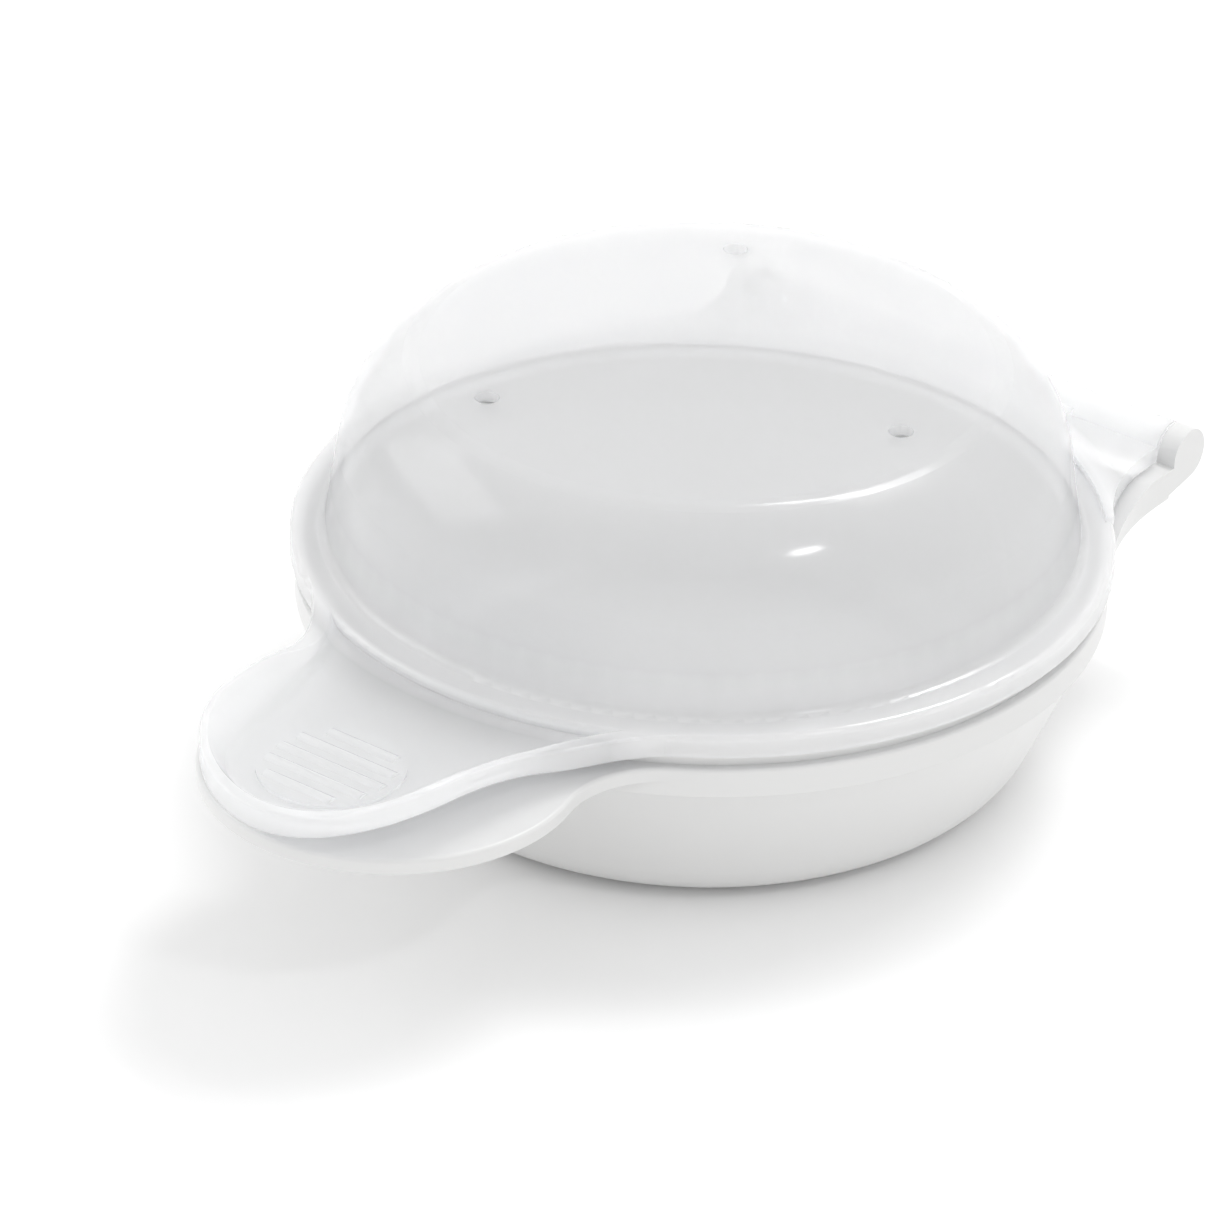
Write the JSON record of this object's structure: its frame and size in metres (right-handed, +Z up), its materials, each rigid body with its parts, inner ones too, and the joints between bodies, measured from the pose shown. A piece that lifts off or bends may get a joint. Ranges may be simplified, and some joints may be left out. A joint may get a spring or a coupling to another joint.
{
  "type": "microwave egg cooker",
  "caption": "Round microwave egg cooker: a shallow bowl and a frosted domed lid that swing on a rear pin hinge, with a flat front tab under a scoop-shaped lid handle.",
  "frame": {"origin": "middle of the bowl's flat underside, on the surface that it stands on", "axes": "+Z up out of the bowl, -Y towards the handle, +Y towards the hinge, X along the hinge pins"},
  "size_m": [0.1204, 0.1715, 0.0621],
  "materials": {
    "white_plastic": "semi-gloss opaque white moulding",
    "frosted_plastic": "translucent frosted moulding with a soft gloss"
  },
  "bodies": {
    "base": {"base": "white_plastic"},
    "lid": {"lid": "frosted_plastic"}
  },
  "joints": [
    {"name": "lid_hinge", "type": "hinge", "parent": "base", "child": "lid", "pos_m": [0, 0.0652, 0.033], "axis": [-1, 0, 0], "range_deg": [0, 180]}
  ]
}
